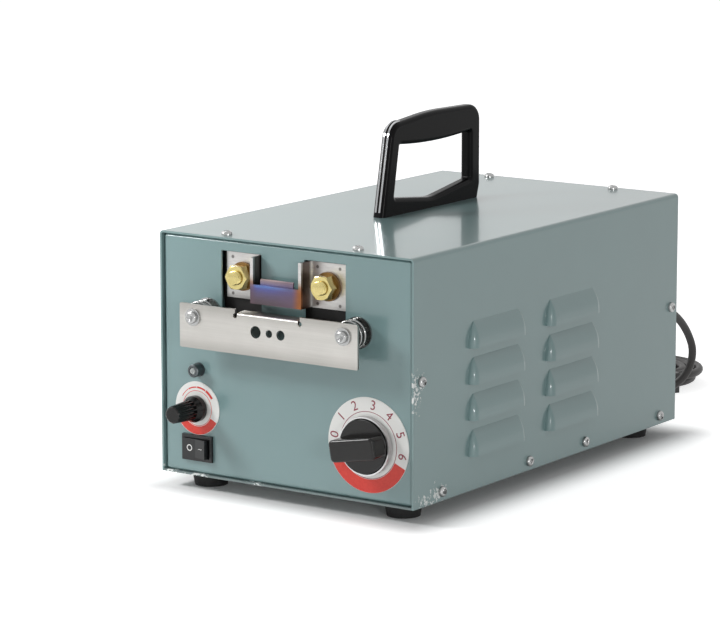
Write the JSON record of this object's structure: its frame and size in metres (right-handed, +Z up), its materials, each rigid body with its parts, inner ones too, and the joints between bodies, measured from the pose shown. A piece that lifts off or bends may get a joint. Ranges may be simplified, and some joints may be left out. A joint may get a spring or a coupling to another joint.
{
  "type": "hot-blade ribbon sealer and cutter",
  "caption": "Bench-top heat sealer: louvred transformer cabinet with a hot blade on brass terminals, a sprung guide plate, rotary heat and time controls, a rocker switch and a carrying handle.",
  "frame": {"origin": "on the floor under the middle of the machine, its lead left out", "axes": "+Y from the front to the back of the cabinet, +Z up, the front faces -Y"},
  "size_m": [0.1905, 0.4745, 0.2063],
  "materials": {
    "paint": "gloss",
    "tray": "satin",
    "zinc": "satin",
    "rubber": "matte",
    "black_plastic": "satin",
    "knob_plastic": "gloss",
    "bright_trim": "gloss",
    "knob_ring": "satin",
    "heated_steel": "heat tinted",
    "brass": "satin",
    "stainless": "brushed",
    "spring_steel": "gloss",
    "dial": "satin",
    "lamp_metal": "gloss",
    "lamp_lens": "gloss",
    "laminations": "matte",
    "former": "matte",
    "winding": "satin",
    "copper": "satin",
    "insulation": "matte",
    "component_body": "matte",
    "circuit_board": "satin",
    "terminal_plastic": "satin",
    "fuse": "gloss",
    "cord": "satin",
    "tie": "satin",
    "plug": "satin",
    "plug_brass": "gloss"
  },
  "bodies": {
    "cabinet": {"cover": "paint", "front_panel": "paint", "rear_panel": "paint", "base_tray": "tray", "cover_screws": "zinc", "foot_screws": "zinc", "handle_screws": "zinc", "guide_screws": "zinc", "guide_washers": "zinc", "guide_nuts": "zinc", "core_clamps": "zinc", "core_bolts": "zinc", "core_nuts": "zinc", "busbar_bolts": "zinc", "board_nuts": "zinc", "board_screws": "zinc", "selector_nut": "zinc", "pot_nut": "zinc", "board_pillars": "zinc", "rubber_feet": "rubber", "handle_grip": "black_plastic", "rocker_housing": "black_plastic", "cord_gland": "black_plastic", "gland_nut": "black_plastic", "board_spacers": "black_plastic", "handle_trim": "bright_trim", "heating_blade": "heated_steel", "terminal_studs": "brass", "terminal_nuts": "brass", "terminal_washers": "brass", "guide_springs": "spring_steel", "temperature_dial": "dial", "time_dial": "dial", "lamp_bezel": "lamp_metal", "lamp_lens": "lamp_lens", "transformer_core": "laminations", "coil_former": "former", "primary_winding": "winding", "secondary_strap": "copper", "busbars": "copper", "terminal_board": "insulation", "temperature_switch": "component_body", "time_pot": "component_body", "timer_relay": "component_body", "control_board": "circuit_board", "wire_terminals": "terminal_plastic", "fuse_link": "fuse", "mains_cord": "cord", "cord_coil": "cord", "cord_sleeve": "cord", "cord_tie": "tie", "plug_body": "plug", "plug_pins": "plug_brass"},
    "temperature_control": {"temperature_knob": "knob_plastic", "knob_ring": "knob_ring", "temperature_shaft": "spring_steel"},
    "time_control": {"time_knob": "knob_plastic", "time_shaft": "spring_steel"},
    "mains_rocker": {"rocker": "knob_plastic"},
    "guide": {"guide_plate": "stainless"}
  },
  "joints": [
    {"name": "temperature_turn", "type": "hinge", "parent": "cabinet", "child": "temperature_control", "pos_m": [0.0563, -0.14125, 0.0418], "axis": [0, 1, 0], "range_deg": [0, 200]},
    {"name": "time_turn", "type": "hinge", "parent": "cabinet", "child": "time_control", "pos_m": [-0.0621, -0.14125, 0.0483], "axis": [0, 1, 0], "range_deg": [0, 270]},
    {"name": "mains_switch", "type": "hinge", "parent": "cabinet", "child": "mains_rocker", "pos_m": [-0.0618, -0.13105, 0.0252], "axis": [0, 0, 1], "range_deg": [0, 14]},
    {"name": "guide_push", "type": "slide", "parent": "cabinet", "child": "guide", "axis": [0, 1, 0], "range_m": [0, 0.007], "stiffness_N_per_m": 1500, "springref_m": -0.004, "deforming": ["guide_springs"]}
  ]
}
